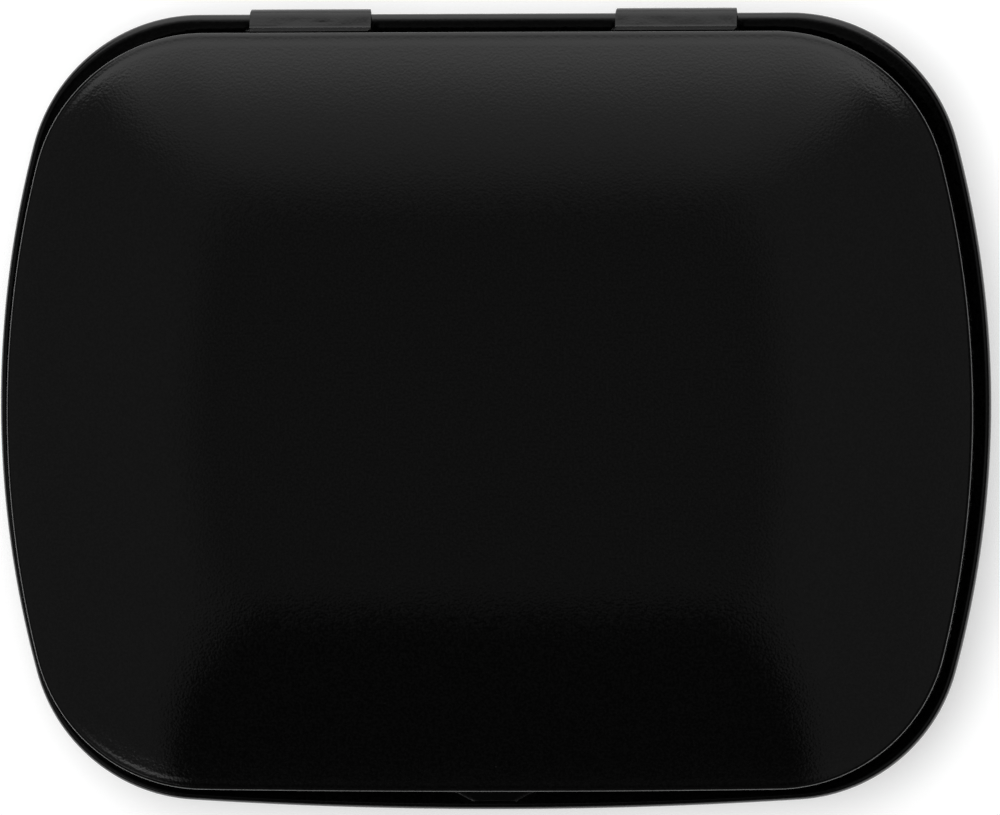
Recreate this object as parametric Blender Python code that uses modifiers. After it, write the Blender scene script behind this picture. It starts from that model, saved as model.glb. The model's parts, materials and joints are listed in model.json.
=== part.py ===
"""A small hinged tin for mints, seen from its own front.

A drawn tinplate tray carries a pressed rim bead, a so-called false wire, partway up its wall. The domed lid
drops over the neck above the bead. Two knuckles roll from the lid's skirt round the bead at the back, so the
bead is the hinge pin, and a short lip at the front gives the thumb a hold. Loose pressed mints lie in the tray.

The origin is the middle of the underside, the hinge is at +Y, the thumb lip at -Y, and +Z is up.
"""

import math
import random

import bmesh
import bpy
from mathutils import Vector

MM = 0.001

# Overall size: length and width over the rim bead, height from the foot to the crown of the lid
TIN_LENGTH = 60.4 * MM
TIN_WIDTH = 48.3 * MM
TIN_HEIGHT = 15.0 * MM
TINPLATE = 0.25 * MM

# Outline in plan: the back is straight, the corners are round, and the sides and the front are bowed.
# A front's bow is how far its middle bulges past the line through its ends. The wall's sides are widest
# halfway, the bead's a little behind that
CORNER_RADIUS = 10.5 * MM
SIDE_RADIUS = 62.0 * MM
BEAD_FRONT_BOW = 0.66 * MM
WALL_FRONT_BOW = 0.15 * MM
BEAD_WIDEST_BEHIND = 0.5 * MM

# Rim bead, and how far the wall's outer face stands in from its edge
BEAD_HEIGHT = 0.9 * MM
WALL_INSET_SIDE = 0.85 * MM
WALL_INSET_FRONT = 1.15 * MM
WALL_INSET_BACK = 1.2 * MM

# Tray: foot radius, raised floor panel, neck under the lid and the rolled edge on top of it
FOOT_RADIUS = 1.5 * MM
FOOT_RING_WIDTH = 1.6 * MM
PANEL_STEP_WIDTH = 0.6 * MM
PANEL_RAISE = 0.4 * MM
FOLD_RADIUS = 0.25 * MM
MOST_FOLD_SHARE = 0.86
LID_CLEARANCE = 0.3 * MM
ROLL_RADIUS = 0.4 * MM
ROLL_TURN_DEG = 240.0

# Lid: skirt, tight edge, narrow ledge, shoulder and dome
SKIRT_HEIGHT = 3.4 * MM
EDGE_RADIUS = 0.3 * MM
LEDGE_WIDTH = 0.1 * MM
SHOULDER_WIDTH = 0.3 * MM
SHOULDER_RISE = 0.13 * MM
DOME_RISE = 1.9 * MM
DOME_RUN = 13.0 * MM
DOME_RING_SHARES = (0.0, 0.25, 0.52, 0.82)
DOME_CORE_SHARES = (0.62, 0.3)
DOME_POWER = 2.2

# Hinge knuckles, rolled from the skirt's lower edge
KNUCKLE_WIDTH = 7.4 * MM
KNUCKLE_FROM_CORNER = 2.47 * MM
KNUCKLE_CLEARANCE = 0.1 * MM
KNUCKLE_FOLD_RADIUS = 0.25 * MM
KNUCKLE_ROOT = 0.05 * MM
KNUCKLE_END_DEG = -85.0
SLOT_CLEARANCE = 0.3 * MM
SLOT_OVERRUN = 0.1 * MM

# Thumb lip, bent out of the skirt's lower edge
LIP_ROOT_WIDTH = 4.9 * MM
LIP_TIP_WIDTH = 2.6 * MM
LIP_REACH = 0.6 * MM
LIP_FOLD_RADIUS = 0.2 * MM
LIP_FOLD_DEG = 82.0
LIP_CLEARANCE = 0.15 * MM

# Mints: pressed tablets with two domed faces and a straight band between them
MINT_DIAMETER = 8.0 * MM
MINT_THICKNESS = 3.6 * MM
MINT_BAND = 1.8 * MM
MINT_GAP = 0.3 * MM
MINTS_BELOW = 33
MINTS_ABOVE = 20
MOST_FILL_SHARE = 0.76
LOWER_TILT_DEG = 1.2
UPPER_TILT_DEG = 3.0
MINT_SEED = 11
SETTLE_STEPS = 1500
SETTLE_SHARE = 0.5
DOWNHILL_STEP = 0.01 * MM
PLACE_GRID = 0.01 * MM

# Facets: segments of each stretch of the outlines and of each bend, and sides of a mint
CORNER_SEGMENTS = 6
SIDE_SEGMENTS = 6
BEAD_SEGMENTS = 5
FOOT_SEGMENTS = 3
FOLD_SEGMENTS = 2
EDGE_SEGMENTS = 2
ROLL_SEGMENTS = 6
KNUCKLE_SEGMENTS = 8
MINT_SIDES = 14
MINT_FACE_RINGS = 2
SHARP_DEG = 40.0
WELD = 0.001 * MM

# Sizes that follow from those above
HALF_SHEET = TINPLATE / 2
BEAD_RADIUS = BEAD_HEIGHT / 2
PIN_MIDDLE = KNUCKLE_CLEARANCE + BEAD_RADIUS + HALF_SHEET
KNUCKLE_REACH = PIN_MIDDLE + HALF_SHEET - BEAD_RADIUS
TIN_MIDDLE_Y = -KNUCKLE_REACH / 2
BEAD_BACK_Y = TIN_MIDDLE_Y + TIN_WIDTH / 2
BEAD_FRONT_Y = TIN_MIDDLE_Y - TIN_WIDTH / 2
AXIS_Y = BEAD_BACK_Y - BEAD_RADIUS
LIP_FOLD = math.radians(LIP_FOLD_DEG)
LIP_FOLD_RUN = LIP_FOLD_RADIUS * (1 - math.cos(LIP_FOLD))
LIP_DROP = LIP_FOLD_RADIUS * math.sin(LIP_FOLD) + HALF_SHEET
LIP_DROP += (HALF_SHEET + LIP_REACH - LIP_FOLD_RUN) / math.tan(LIP_FOLD)

# Levels over the foot. The skirt ends as far over the bead as its knuckles or its lip need
EDGE_LEVEL = TIN_HEIGHT - DOME_RISE - SHOULDER_RISE
SKIRT_LEVEL = EDGE_LEVEL - SKIRT_HEIGHT
SKIRT_OVER_AXIS = max(
    PIN_MIDDLE + KNUCKLE_FOLD_RADIUS + KNUCKLE_ROOT,
    BEAD_RADIUS + LIP_CLEARANCE + LIP_DROP,
)
BEAD_LEVEL = SKIRT_LEVEL - SKIRT_OVER_AXIS
NECK_INSET = TINPLATE + LID_CLEARANCE
NECK_TOP = EDGE_LEVEL - TINPLATE - LID_CLEARANCE
PANEL_TOP = PANEL_RAISE + TINPLATE
SHOULDER_INSET = HALF_SHEET + EDGE_RADIUS + LEDGE_WIDTH + SHOULDER_WIDTH
WALL_HALF_LENGTH = TIN_LENGTH / 2 - WALL_INSET_SIDE
WALL_BACK_Y = BEAD_BACK_Y - WALL_INSET_BACK
WALL_FRONT_Y = BEAD_FRONT_Y + WALL_INSET_FRONT
BEAD_WIDEST_Y = TIN_MIDDLE_Y + BEAD_WIDEST_BEHIND
WALL_WIDEST_Y = (WALL_BACK_Y + WALL_FRONT_Y) / 2
HINGE_POINT = Vector((0, AXIS_Y, BEAD_LEVEL))


def start_clean():
    """Empty the scene and open the collections that the tin and its cutters go in."""
    for old in list(bpy.data.objects):
        bpy.data.objects.remove(old)
    made = []
    for name in ("mint_tin", "cutters"):
        group = bpy.data.collections.new(name)
        bpy.context.scene.collection.children.link(group)
        made.append(group)
    return made


def arc(start, end, count):
    """Angles in radians of the ends of count equal segments, both ends included."""
    return [start + (end - start) * i / count for i in range(count + 1)]


def back_corner(half_length, back_y, widest_y):
    """Middle of a back corner's arc, which touches the straight back and the bowed side from inside."""
    run = SIDE_RADIUS - CORNER_RADIUS
    mid_y = back_y - CORNER_RADIUS
    over = mid_y - widest_y
    return half_length - SIDE_RADIUS + math.sqrt(run**2 - over**2), mid_y


def corner_middle(side_x, side_y, side_run, front_y, front_run):
    """Middle of a front corner's arc, which touches the bowed side and the bowed front from inside.

    Both are given by their middles and by their radii less the corner's.
    """
    apart = math.hypot(side_x, side_y - front_y)
    along = (side_run**2 - front_run**2 + apart**2) / (2 * apart)
    off = math.sqrt(side_run**2 - along**2)
    ux, uy = -side_x / apart, (front_y - side_y) / apart
    both = [
        (side_x + ux * along - s * uy * off, side_y + uy * along + s * ux * off)
        for s in (1, -1)
    ]
    return max(both)


def outline(half_length, back_y, front_y, widest_y, front_bow):
    """Plan of a rim as stations (x, y, normal x, normal y), clockwise from the middle of the back."""
    side_x = half_length - SIDE_RADIUS
    run = SIDE_RADIUS - CORNER_RADIUS
    back_x, back_mid_y = back_corner(half_length, back_y, widest_y)
    front_radius = ((half_length - CORNER_RADIUS) ** 2 + front_bow**2) / (2 * front_bow)
    bow_y = front_y + front_radius
    front_run = front_radius - CORNER_RADIUS
    front_x, front_mid_y = corner_middle(side_x, widest_y, run, bow_y, front_run)
    turn_back = math.atan2(back_mid_y - widest_y, back_x - side_x)
    turn_front = math.atan2(front_mid_y - widest_y, front_x - side_x)
    turn_bow = math.atan2(front_mid_y - bow_y, front_x)
    half = [(x, back_y, 0.0, 1.0) for x in (0.0, KNUCKLE_INNER_X, KNUCKLE_OUTER_X)]
    stretches = (
        (back_x, back_mid_y, CORNER_RADIUS, arc(math.pi / 2, turn_back, CORNER_SEGMENTS)),
        (side_x, widest_y, SIDE_RADIUS, arc(turn_back, turn_front, SIDE_SEGMENTS)[1:-1]),
        (front_x, front_mid_y, CORNER_RADIUS, arc(turn_front, turn_bow, CORNER_SEGMENTS)),
    )
    for mid_x, mid_y, radius, angles in stretches:
        for angle in angles:
            nx, ny = math.cos(angle), math.sin(angle)
            half.append((mid_x + radius * nx, mid_y + radius * ny, nx, ny))
    for x in (LIP_ROOT_WIDTH / 2, LIP_ROOT_WIDTH / 4, 0.0):
        nx = x / front_radius
        ny = -math.sqrt(1 - nx**2)
        half.append((x, bow_y + front_radius * ny, nx, ny))
    mirrored = [(-x, y, -nx, ny) for x, y, nx, ny in half[-2:0:-1]]
    return half + mirrored


KNUCKLE_OUTER_X = back_corner(WALL_HALF_LENGTH, WALL_BACK_Y, WALL_WIDEST_Y)[0] - KNUCKLE_FROM_CORNER
KNUCKLE_INNER_X = KNUCKLE_OUTER_X - KNUCKLE_WIDTH
BEAD_OUTLINE = outline(TIN_LENGTH / 2, BEAD_BACK_Y, BEAD_FRONT_Y, BEAD_WIDEST_Y, BEAD_FRONT_BOW)
WALL_OUTLINE = outline(WALL_HALF_LENGTH, WALL_BACK_Y, WALL_FRONT_Y, WALL_WIDEST_Y, WALL_FRONT_BOW)
STATIONS = len(WALL_OUTLINE)
LEAST_STAND_OUT = min(
    (b[0] - w[0]) * w[2] + (b[1] - w[1]) * w[3] for b, w in zip(BEAD_OUTLINE, WALL_OUTLINE)
)
FLANGE = LEAST_STAND_OUT + HALF_SHEET - BEAD_RADIUS
FOLD = min(FOLD_RADIUS, FLANGE * MOST_FOLD_SHARE)


def ring(stations, inset, level):
    """Points round an outline, moved in along its normals and set at a level."""
    return [Vector((x - nx * inset, y - ny * inset, level)) for x, y, nx, ny in stations]


def shrunk(points, share, level):
    """A ring drawn in towards the middle of the tin."""
    middle = Vector((0, TIN_MIDDLE_Y, 0))
    drawn = [middle + (p - middle) * share for p in points]
    return [Vector((p.x, p.y, level)) for p in drawn]


def add_rings(mesh, rings):
    """Join rings of as many points with bands of faces, and return their vertices."""
    rows = [[mesh.verts.new(p) for p in points] for points in rings]
    for above, below in zip(rows, rows[1:]):
        for i in range(STATIONS):
            j = (i + 1) % STATIONS
            mesh.faces.new((above[i], above[j], below[j], below[i]))
    return rows


def add_strip(mesh, root, rows):
    """Carry a stretch of an edge on through more rows of points, as a bent tongue of sheet."""
    last = root
    for points in rows:
        row = [mesh.verts.new(p) for p in points]
        for i in range(len(row) - 1):
            mesh.faces.new((last[i], last[i + 1], row[i + 1], row[i]))
        last = row


def sheet_object(name, mesh, pivot, group, material):
    """Give the middle surface of a pressing its thickness, with its origin at the pivot."""
    bmesh.ops.translate(mesh, vec=-pivot, verts=mesh.verts)
    bmesh.ops.recalc_face_normals(mesh, faces=mesh.faces)
    data = bpy.data.meshes.new(name)
    mesh.to_mesh(data)
    mesh.free()
    data.shade_smooth()
    data.set_sharp_from_angle(angle=math.radians(SHARP_DEG))
    data.materials.append(material)
    made = bpy.data.objects.new(name, data)
    made.location = pivot
    group.objects.link(made)
    sheet = made.modifiers.new("sheet", "SOLIDIFY")
    sheet.thickness = TINPLATE
    sheet.offset = 0
    sheet.use_even_offset = True
    return made


def principled(name, colour, metallic, roughness):
    """A plain material for one sub-part."""
    made = bpy.data.materials.new(name)
    made.use_nodes = True
    shader = made.node_tree.nodes["Principled BSDF"]
    shader.inputs["Base Color"].default_value = (*colour, 1)
    shader.inputs["Metallic"].default_value = metallic
    shader.inputs["Roughness"].default_value = roughness
    made.diffuse_color = (*colour, 1)
    return made


def foot_rings():
    """Raised floor panel, foot ring and the radius up into the wall."""
    start = HALF_SHEET + FOOT_RADIUS
    rings = [
        (start + FOOT_RING_WIDTH + PANEL_STEP_WIDTH, HALF_SHEET + PANEL_RAISE),
        (start + FOOT_RING_WIDTH, HALF_SHEET),
    ]
    for angle in arc(0, math.pi / 2, FOOT_SEGMENTS):
        inset = start - FOOT_RADIUS * math.sin(angle)
        rings.append((inset, start - FOOT_RADIUS * math.cos(angle)))
    return [ring(WALL_OUTLINE, inset, level) for inset, level in rings]


def fold_rings(inset, level, turn_up):
    """A fold between the wall or neck and one flange of the bead, from its lower end up."""
    rings = []
    for angle in arc(0, math.pi / 2, FOLD_SEGMENTS):
        if turn_up:
            out = inset - FOLD * (1 - math.sin(angle))
            up = level + FOLD * (1 - math.cos(angle))
        else:
            out = inset - FOLD * (1 - math.cos(angle))
            up = level - FOLD * (1 - math.sin(angle))
        rings.append(ring(WALL_OUTLINE, out, up))
    return rings


def bead_rings():
    """The round outer edge of the rim bead."""
    radius = BEAD_RADIUS - HALF_SHEET
    rings = []
    for angle in arc(-math.pi / 2, math.pi / 2, BEAD_SEGMENTS):
        inset = BEAD_RADIUS - radius * math.cos(angle)
        rings.append(ring(BEAD_OUTLINE, inset, BEAD_LEVEL + radius * math.sin(angle)))
    return rings


def roll_rings():
    """The edge of the neck, rolled inwards so that no cut edge shows."""
    radius = ROLL_RADIUS - HALF_SHEET
    middle = NECK_INSET + HALF_SHEET + radius
    level = NECK_TOP - ROLL_RADIUS
    turn = math.radians(ROLL_TURN_DEG)
    rings = []
    for angle in arc(math.pi, math.pi - turn, ROLL_SEGMENTS):
        inset = middle + radius * math.cos(angle)
        rings.append(ring(WALL_OUTLINE, inset, level + radius * math.sin(angle)))
    return rings


def make_tray(group, cutters, material):
    """The tray: one pressing from floor panel to rolled edge, slotted for the two knuckles."""
    flange = BEAD_RADIUS - HALF_SHEET
    mesh = bmesh.new()
    rows = add_rings(
        mesh,
        foot_rings()
        + fold_rings(HALF_SHEET, BEAD_LEVEL - flange, False)
        + bead_rings()
        + fold_rings(NECK_INSET + HALF_SHEET, BEAD_LEVEL + flange, True)
        + roll_rings(),
    )
    mesh.faces.new(rows[0])
    tray = sheet_object("base_tray", mesh, Vector((0, 0, 0)), group, material)
    for side in (-1, 1):
        cutter = hinge_slot(side, cutters)
        cut = tray.modifiers.new(cutter.name, "BOOLEAN")
        cut.operation = "DIFFERENCE"
        cut.solver = "EXACT"
        cut.object = cutter
    return tray


def hinge_slot(side, cutters):
    """The slot that a knuckle's rolled end turns in, through the bead's lower flange and the top of the wall.

    The bead's round edge and its upper flange stay whole, and they carry the lid.
    """
    near = AXIS_Y - SLOT_OVERRUN
    far = WALL_BACK_Y - TINPLATE - SLOT_OVERRUN
    bottom = BEAD_LEVEL - PIN_MIDDLE - HALF_SHEET
    width = KNUCKLE_WIDTH + 2 * SLOT_CLEARANCE
    name = "hinge_slot_left" if side < 0 else "hinge_slot_right"
    data = bpy.data.meshes.new(name)
    mesh = bmesh.new()
    bmesh.ops.create_cube(mesh, size=1)
    bmesh.ops.scale(mesh, vec=(width, near - far, BEAD_LEVEL - bottom), verts=mesh.verts)
    mesh.to_mesh(data)
    mesh.free()
    cutter = bpy.data.objects.new(name, data)
    middle_x = side * (KNUCKLE_INNER_X + KNUCKLE_OUTER_X) / 2
    cutter.location = (middle_x, (near + far) / 2, (BEAD_LEVEL + bottom) / 2)
    cutter.hide_render = True
    cutter.display_type = "WIRE"
    cutters.objects.link(cutter)
    return cutter


def dome_level(inset):
    """Height of the lid's middle surface over the foot at a distance in from the skirt."""
    crown = TIN_HEIGHT - HALF_SHEET
    share = min((inset - SHOULDER_INSET) / (DOME_RUN - SHOULDER_INSET), 1)
    return crown - DOME_RISE * (1 - share) ** DOME_POWER


def lid_rings():
    """The lid's middle surface, from the skirt's lower edge over the shoulder to the crown."""
    radius = EDGE_RADIUS - HALF_SHEET
    profile = [(HALF_SHEET, SKIRT_LEVEL)]
    for angle in arc(0, math.pi / 2, EDGE_SEGMENTS):
        inset = HALF_SHEET + radius * (1 - math.cos(angle))
        profile.append((inset, EDGE_LEVEL - EDGE_RADIUS + radius * math.sin(angle)))
    profile.append((EDGE_RADIUS + LEDGE_WIDTH, EDGE_LEVEL - HALF_SHEET))
    for share in DOME_RING_SHARES:
        inset = SHOULDER_INSET + (CORNER_RADIUS - SHOULDER_INSET) * share
        profile.append((inset, dome_level(inset)))
    rings = [ring(WALL_OUTLINE, inset, level) for inset, level in profile]
    last_inset, last_ring = inset, rings[-1]
    half_width = (WALL_BACK_Y - WALL_FRONT_Y) / 2
    for share in DOME_CORE_SHARES:
        inset = half_width - (half_width - last_inset) * share
        rings.append(shrunk(last_ring, share, dome_level(inset)))
    return rings


def knuckle_path():
    """Middle line of a knuckle: out of the skirt, flat over the bead's upper flange and round its edge."""
    skirt_y = WALL_BACK_Y - HALF_SHEET
    path = []
    for angle in arc(0, math.pi / 2, FOLD_SEGMENTS):
        y = skirt_y + KNUCKLE_FOLD_RADIUS * (1 - math.cos(angle))
        z = BEAD_LEVEL + PIN_MIDDLE + KNUCKLE_FOLD_RADIUS * (1 - math.sin(angle))
        path.append((y, z))
    for angle in arc(math.pi / 2, math.radians(KNUCKLE_END_DEG), KNUCKLE_SEGMENTS):
        y = AXIS_Y + PIN_MIDDLE * math.cos(angle)
        z = BEAD_LEVEL + PIN_MIDDLE * math.sin(angle)
        path.append((y, z))
    return path


def lip_path():
    """Middle line of the thumb lip: how far it is out from the skirt's middle, and its level."""
    path = []
    for angle in arc(0, LIP_FOLD, FOLD_SEGMENTS)[1:]:
        out = LIP_FOLD_RADIUS * (1 - math.cos(angle))
        path.append((out, SKIRT_LEVEL - LIP_FOLD_RADIUS * math.sin(angle)))
    path.append((HALF_SHEET + LIP_REACH, SKIRT_LEVEL - LIP_DROP + HALF_SHEET))
    return path


def lip_rows(skirt_edge):
    """Points across the thumb lip, which narrows from its root to its tip."""
    front = STATIONS // 2
    columns = [front + step for step in (-2, -1, 0, 1, 2)]
    root = [skirt_edge[i] for i in columns]
    path = lip_path()
    reach = path[-1][0]
    rows = []
    for out, level in path:
        share = 1 - (1 - LIP_TIP_WIDTH / LIP_ROOT_WIDTH) * out / reach
        rows.append([Vector((v.co.x * share, v.co.y - out, level)) for v in root])
    return root, rows


def make_lid(group, material):
    """The lid: one pressing with skirt, ledge and dome, two knuckles and a thumb lip."""
    mesh = bmesh.new()
    rows = add_rings(mesh, lid_rings())
    mesh.faces.new(rows[-1])
    skirt_edge = rows[0]
    path = knuckle_path()
    for pair in ((1, 2), (STATIONS - 2, STATIONS - 1)):
        root = [skirt_edge[i] for i in pair]
        add_strip(mesh, root, [[Vector((v.co.x, y, z)) for v in root] for y, z in path])
    root, lip = lip_rows(skirt_edge)
    add_strip(mesh, root, lip)
    return sheet_object("lid", mesh, HINGE_POINT, group, material)


def room_edges(inset):
    """The tray's wall as straight edges (reach, outward normal), drawn in by an inset."""
    points = ring(WALL_OUTLINE, 0, 0)
    edges = []
    for a, b in zip(points, points[1:] + points[:1]):
        length = math.hypot(b.x - a.x, b.y - a.y)
        nx, ny = (a.y - b.y) / length, (b.x - a.x) / length
        edges.append((a.x * nx + a.y * ny - inset, nx, ny))
    return edges


def room_area(inset):
    """Area inside the tray's wall, drawn in by an inset."""
    points = ring(WALL_OUTLINE, inset, 0)
    pairs = zip(points, points[1:] + points[:1])
    return abs(sum(a.x * b.y - b.x * a.y for a, b in pairs)) / 2


def push_apart(places, pitch):
    """Move every two mints that are closer than the pitch away from each other."""
    for i, first in enumerate(places):
        for second in places[i + 1 :]:
            dx, dy = second[0] - first[0], second[1] - first[1]
            apart = math.sqrt(dx * dx + dy * dy)
            if apart < pitch:
                push = SETTLE_SHARE * (pitch - apart) / max(apart, WELD)
                first[0] -= dx * push
                first[1] -= dy * push
                second[0] += dx * push
                second[1] += dy * push


def keep_inside(places, edges):
    """Bring back every mint that has crossed the tray's wall."""
    for place in places:
        for limit, nx, ny in edges:
            over = place[0] * nx + place[1] * ny - limit
            if over > 0:
                place[0] -= nx * over
                place[1] -= ny * over


def roll_down(places, below):
    """Move each mint of the upper layer a little away from the nearest mint under it."""
    for place in places:
        nearest = min(below, key=lambda b: (place[0] - b[0]) ** 2 + (place[1] - b[1]) ** 2)
        dx, dy = place[0] - nearest[0], place[1] - nearest[1]
        apart = math.sqrt(dx * dx + dy * dy)
        place[0] += dx / max(apart, WELD) * DOWNHILL_STEP
        place[1] += dy / max(apart, WELD) * DOWNHILL_STEP


def settle(count, dice, below, inset):
    """Places of one layer of mints in plan: thrown in at random, then pushed until none overlap."""
    pitch = MINT_DIAMETER + MINT_GAP
    most = int(MOST_FILL_SHARE * room_area(inset) / (math.pi * (pitch / 2) ** 2))
    edges = room_edges(inset + MINT_DIAMETER / 2 + MINT_GAP)
    half_x, half_y = TIN_LENGTH / 2, TIN_WIDTH / 2
    places = [
        [dice.uniform(-half_x, half_x), dice.uniform(-half_y, half_y)]
        for _ in range(min(count, most))
    ]
    for _ in range(SETTLE_STEPS):
        if below:
            roll_down(places, below)
        push_apart(places, pitch)
        keep_inside(places, edges)
    kept = []
    for place in places:
        on_grid = [round(value / PLACE_GRID) * PLACE_GRID for value in place]
        near = [math.hypot(on_grid[0] - k[0], on_grid[1] - k[1]) for k in kept]
        if all(apart > pitch - MINT_GAP / 2 for apart in near):
            kept.append(on_grid)
    return kept


def face_height(radius):
    """Height of a mint's domed face over its middle plane at a radius."""
    crown = (MINT_THICKNESS - MINT_BAND) / 2
    sphere = ((MINT_DIAMETER / 2) ** 2 + crown**2) / (2 * crown)
    return MINT_THICKNESS / 2 - sphere + math.sqrt(sphere**2 - radius**2)


def tilts(count, most_deg, dice):
    """Small tilts about X and Y for a layer of mints, none steeper than the limit."""
    most = math.radians(most_deg) / math.sqrt(2)
    return [(dice.uniform(-most, most), dice.uniform(-most, most)) for _ in range(count)]


def mint_places():
    """Middle and tilt of each mint: a lower layer on the floor panel, an upper one in its hollows.

    The upper layer lies within the rolled edge, and no mint is heaped into the lid.
    """
    dice = random.Random(MINT_SEED)
    floor = PANEL_TOP + MINT_GAP + MINT_THICKNESS / 2
    lift = MINT_DIAMETER / 2 * math.sin(math.radians(UPPER_TILT_DEG))
    below = settle(MINTS_BELOW, dice, [], TINPLATE)
    above = settle(MINTS_ABOVE, dice, below, NECK_INSET + 2 * ROLL_RADIUS)
    levels = [floor] * len(below)
    for x, y in above:
        level = floor
        for bx, by in below:
            apart = math.hypot(x - bx, y - by)
            if apart < MINT_DIAMETER + MINT_GAP:
                touch = min(apart, MINT_DIAMETER) / 2
                level = max(level, floor + 2 * face_height(touch) + MINT_GAP + lift)
        levels.append(level)
    leaning = tilts(len(below), LOWER_TILT_DEG, dice) + tilts(len(above), UPPER_TILT_DEG, dice)
    highest = EDGE_LEVEL - TINPLATE - MINT_GAP - MINT_THICKNESS / 2
    poured = zip(below + above, levels, leaning)
    return [((x, y, z), tilt) for (x, y), z, tilt in poured if z < highest]


def mint_profile():
    """Half section of a mint, from the crown of its top face down to that of its underside."""
    radius = MINT_DIAMETER / 2
    face = [radius * i / MINT_FACE_RINGS for i in range(MINT_FACE_RINGS + 1)]
    upper = [(r, face_height(r)) for r in face]
    return upper + [(r, -z) for r, z in reversed(upper)]


def make_mints(group, material):
    """One object for each mint, all turned from the same half section."""
    profile = mint_profile()
    data = bpy.data.meshes.new("mint_profile")
    points = [(r, 0, z) for r, z in profile]
    data.from_pydata(points, [(i, i + 1) for i in range(len(points) - 1)], [])
    data.materials.append(material)
    for number, (place, tilt) in enumerate(mint_places(), 1):
        mint = bpy.data.objects.new(f"mint_{number:02d}", data)
        mint.location = place
        mint.rotation_euler = (*tilt, 0)
        group.objects.link(mint)
        turned = mint.modifiers.new("turned", "SCREW")
        turned.steps = MINT_SIDES
        turned.render_steps = MINT_SIDES
        turned.use_merge_vertices = True
        turned.merge_threshold = WELD
        turned.use_smooth_shade = True


BLACK_LACQUER = (0.012, 0.012, 0.013)
PRESSED_SUGAR = (0.86, 0.9, 0.88)

tin_group, cutter_group = start_clean()
make_tray(tin_group, cutter_group, principled("tray_lacquer", BLACK_LACQUER, 0.0, 0.32))
make_lid(tin_group, principled("lid_lacquer", BLACK_LACQUER, 0.0, 0.32))
make_mints(tin_group, principled("pressed_mint", PRESSED_SUGAR, 0.0, 0.75))
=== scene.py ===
"""A small hinged tin for mints, shut, seen from straight above on a white table.

The tray and the lid are pressings of thin tinplate with a black stoved lacquer outside.
All sizes are in metres.
"""

import json
import math
import random

import bmesh
import bpy
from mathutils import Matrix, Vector, noise


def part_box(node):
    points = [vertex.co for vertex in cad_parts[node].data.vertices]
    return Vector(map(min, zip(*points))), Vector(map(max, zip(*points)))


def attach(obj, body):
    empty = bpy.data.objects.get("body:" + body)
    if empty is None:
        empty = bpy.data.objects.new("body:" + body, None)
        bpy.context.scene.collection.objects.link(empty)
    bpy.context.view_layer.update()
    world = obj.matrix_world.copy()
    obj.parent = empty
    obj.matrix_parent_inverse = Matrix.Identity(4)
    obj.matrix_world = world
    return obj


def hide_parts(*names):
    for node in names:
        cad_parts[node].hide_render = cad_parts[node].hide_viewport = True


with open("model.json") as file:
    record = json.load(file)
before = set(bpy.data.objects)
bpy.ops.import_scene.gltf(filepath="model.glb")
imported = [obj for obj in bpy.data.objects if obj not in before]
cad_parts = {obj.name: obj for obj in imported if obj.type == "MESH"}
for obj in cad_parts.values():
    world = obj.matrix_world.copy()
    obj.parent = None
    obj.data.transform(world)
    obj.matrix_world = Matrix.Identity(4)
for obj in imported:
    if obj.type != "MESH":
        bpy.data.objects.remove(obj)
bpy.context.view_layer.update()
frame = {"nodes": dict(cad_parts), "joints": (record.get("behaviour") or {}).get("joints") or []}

# The tray: one deep pressing of 0.25 mm tinplate, black outside and bare inside. Its rim bead, the false
# wire, is rolled out of the wall and is the hinge's pin. The neck above it guides the lid, and its raw edge
# is rolled inwards.
MM = 0.001
TIN_LENGTH = 60.4 * MM
TIN_WIDTH = 48.3 * MM
SHEET = 0.25 * MM
CORNER_RADIUS = 10.5 * MM
SIDE_RADIUS = 62.0 * MM
BEAD_FRONT_BOW = 0.66 * MM
WALL_FRONT_BOW = 0.15 * MM
BEAD_WIDEST_BEHIND = 0.5 * MM
WALL_INSET_SIDE = 0.85 * MM
WALL_INSET_FRONT = 1.15 * MM
WALL_INSET_BACK = 1.2 * MM
BEAD_RADIUS = 0.45 * MM
BEAD_TURN_DEG = 112.0
BEAD_SLIM_HALF_WIDTH = 0.3 * MM
BEAD_SLIM_BELOW = 0.95
BEAD_SLIM_FADE = 0.4
GROOVE_RISE = 0.05 * MM
GROOVE_END = 0.94
FOOT_RADIUS = 1.5 * MM
FOOT_RING_WIDTH = 1.6 * MM
PANEL_STEP_WIDTH = 0.6 * MM
PANEL_RAISE = 0.4 * MM
PANEL_START = 0.1
FOLD_RADIUS = 0.2 * MM
LID_CLEARANCE = 0.3 * MM
ROLL_RADIUS = 0.4 * MM
ROLL_TURN_DEG = 240.0
SLOT_DEPTH = 0.8 * MM
SLOT_CLEARANCE = 0.3 * MM
SLOT_FRONT = 0.04 * MM
KNUCKLE_WIDTH = 7.4 * MM
KNUCKLE_FROM_CORNER = 2.47 * MM
LIP_ROOT_WIDTH = 4.9 * MM
CUT_EDGE_ROUND = 0.035 * MM
CUT_EDGE_STEPS = 2
SHARP_DEG = 50.0
PANEL_ROWS, PANEL_STEP_ROWS, FOOT_RING_ROWS, FOOT_ROWS, WALL_ROWS = 8, 8, 4, 12, 7
FOLD_ROWS, BEAD_ROWS, GROOVE_ROWS, NECK_ROWS, ROLL_ROWS = 5, 20, 8, 6, 20

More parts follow.
